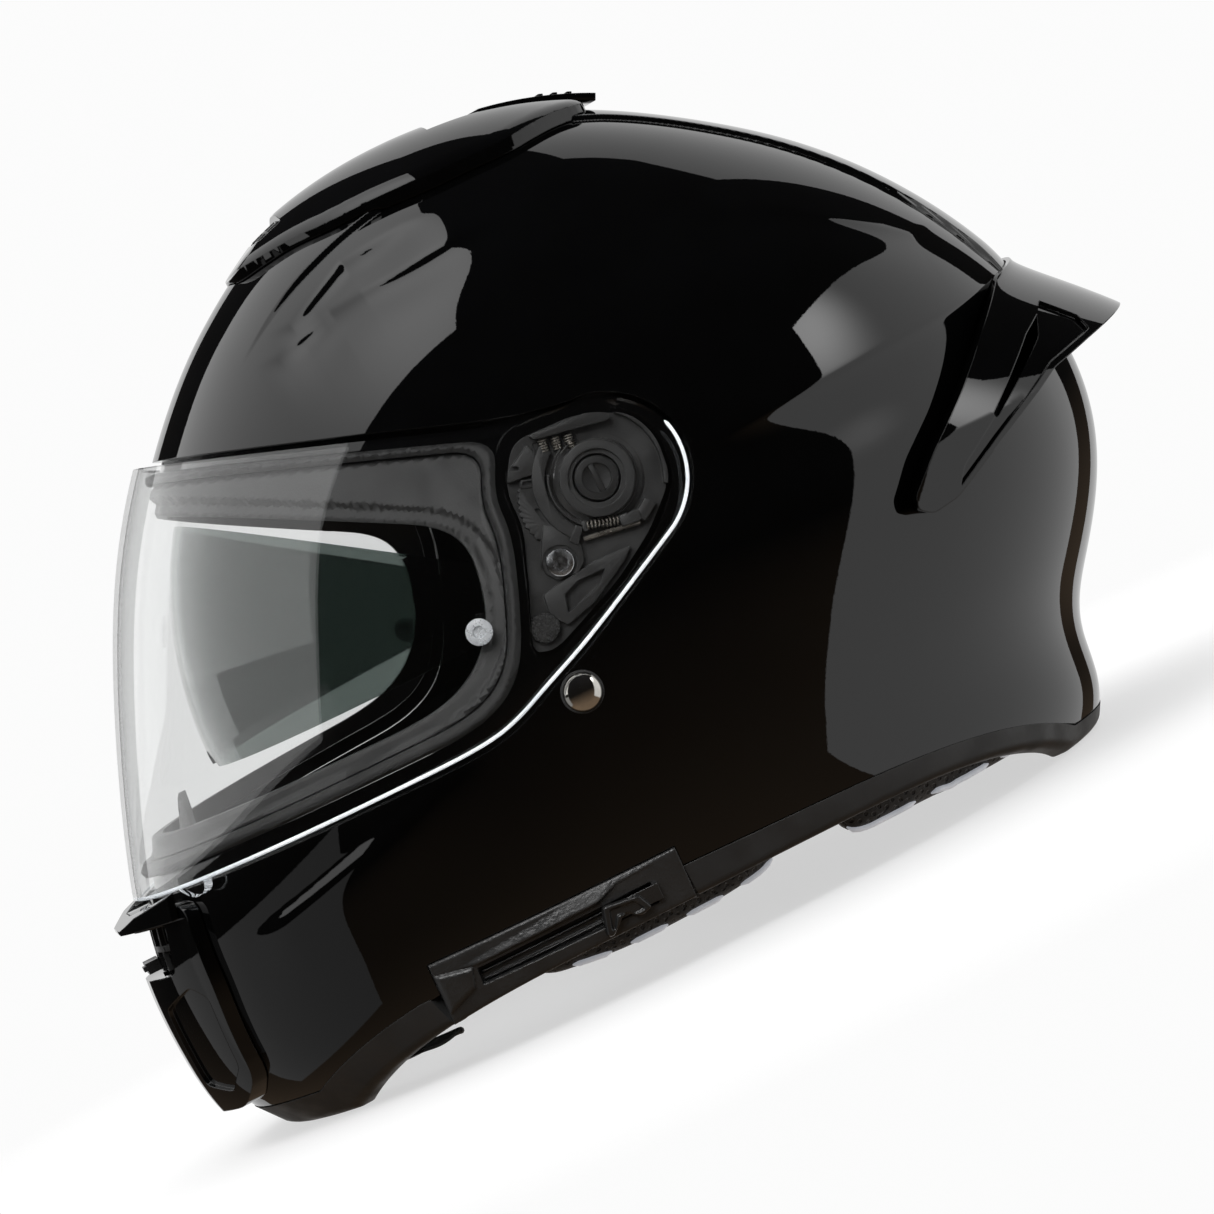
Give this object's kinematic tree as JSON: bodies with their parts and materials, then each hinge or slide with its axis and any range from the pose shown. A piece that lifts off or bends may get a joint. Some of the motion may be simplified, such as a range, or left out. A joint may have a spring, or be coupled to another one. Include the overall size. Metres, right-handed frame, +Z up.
{
  "type": "full-face motorcycle helmet",
  "caption": "Full-face motorcycle helmet with hinged clear visor, inner sun visor, sliding vents, rear spoiler, padded lining and buckled chin strap.",
  "frame": {"origin": "on the surface it stands on, under the middle of its overall box", "axes": "+Z up, -Y towards the face opening, +X towards the wearer's left"},
  "size_m": [0.2504, 0.363, 0.2587],
  "materials": {
    "gloss_black": "polished lacquer",
    "satin_black": "fine texture",
    "rubber_black": "matte",
    "foam": "beaded foam",
    "lining_fabric": "mesh knit",
    "webbing": "woven",
    "clear_pane": "polished, clear",
    "tinted_pane": "polished, grey-green tint",
    "steel": "polished",
    "spring_steel": "plain wire"
  },
  "bodies": {
    "helmet": {"outer_shell": "gloss_black", "impact_liner": "foam", "chin_liner": "foam", "edge_trim_front": "rubber_black", "edge_trim_rear": "rubber_black", "side_cover_left": "satin_black", "side_cover_right": "satin_black", "eyeport_frame": "satin_black", "eyeport_seal": "rubber_black", "base_plate_left": "satin_black", "base_plate_right": "satin_black", "pivot_screw_left": "satin_black", "pivot_screw_right": "satin_black", "plate_screw_left": "steel", "plate_screw_right": "steel", "detent_pad_left": "satin_black", "detent_pad_right": "satin_black", "latch_spring_left": "spring_steel", "latch_spring_right": "spring_steel", "sun_visor_screw_left": "steel", "sun_visor_screw_right": "steel", "top_vent_panel": "gloss_black", "top_vent_grille": "satin_black", "chin_vent_housing": "gloss_black", "chin_vent_lip": "gloss_black", "chin_vent_grille": "satin_black", "rear_spoiler": "gloss_black", "breath_deflector": "rubber_black", "chin_curtain": "lining_fabric", "cheek_pad_left": "lining_fabric", "cheek_pad_right": "lining_fabric", "neck_roll": "lining_fabric", "crown_pad": "lining_fabric", "strap_left": "webbing", "strap_right": "webbing", "strap_pad_left": "lining_fabric", "strap_pad_right": "lining_fabric", "strap_anchor_left": "steel", "strap_anchor_right": "steel", "strap_rivet_left": "steel", "strap_rivet_right": "steel", "buckle_body": "satin_black"},
    "visor_pane": {"visor": "clear_pane", "antifog_pin_left": "clear_pane", "antifog_pin_right": "clear_pane"},
    "sun_lens": {"sun_visor": "tinted_pane"},
    "sun_slider": {"sun_visor_slider": "satin_black"},
    "top_slider": {"top_vent_slider": "gloss_black"},
    "chin_slider": {"chin_vent_slider": "satin_black"},
    "latch_left": {"latch_arm_left": "satin_black"},
    "latch_right": {"latch_arm_right": "satin_black"},
    "buckle_tab": {"buckle_lever": "satin_black"}
  },
  "joints": [
    {"name": "visor_hinge", "type": "hinge", "parent": "helmet", "child": "visor_pane", "pos_m": [0, 0, 0.141], "axis": [-1, 0, 0], "range_deg": [0, 55]},
    {"name": "sun_visor_hinge", "type": "hinge", "parent": "helmet", "child": "sun_lens", "pos_m": [0, -0.01, 0.112], "axis": [-1, 0, 0], "range_deg": [0, 42]},
    {"name": "sun_slider_slide", "type": "slide", "parent": "helmet", "child": "sun_slider", "axis": [-0.1868, -0.9824, 0], "range_m": [0, 0.0361]},
    {"name": "top_slider_slide", "type": "hinge", "parent": "helmet", "child": "top_slider", "pos_m": [0, 0.007, 0.129], "axis": [1, 0, 0], "range_deg": [0, 3.4]},
    {"name": "chin_slider_slide", "type": "slide", "parent": "helmet", "child": "chin_slider", "axis": [0, 0, 1], "range_m": [0, 0.006]},
    {"name": "latch_left_turn", "type": "hinge", "parent": "helmet", "child": "latch_left", "pos_m": [0.112, 0, 0.141], "axis": [-1, 0, 0], "range_deg": [0, 6], "stiffness_Nm_per_rad": 0.02, "springref_deg": -5.73},
    {"name": "latch_right_turn", "type": "hinge", "parent": "helmet", "child": "latch_right", "pos_m": [-0.112, 0, 0.141], "axis": [-1, 0, 0], "range_deg": [0, 6], "stiffness_Nm_per_rad": 0.02, "springref_deg": -5.73},
    {"name": "buckle_tab_hinge", "type": "hinge", "parent": "helmet", "child": "buckle_tab", "pos_m": [-0.009, -0.032, 0.0244], "axis": [0, 1, 0], "range_deg": [0, 30], "stiffness_Nm_per_rad": 0.01, "springref_deg": -11.46}
  ],
  "couplings": [
    {"joint": "sun_slider_slide", "follows": "sun_visor_hinge", "m_per_rad": 0.0491}
  ]
}
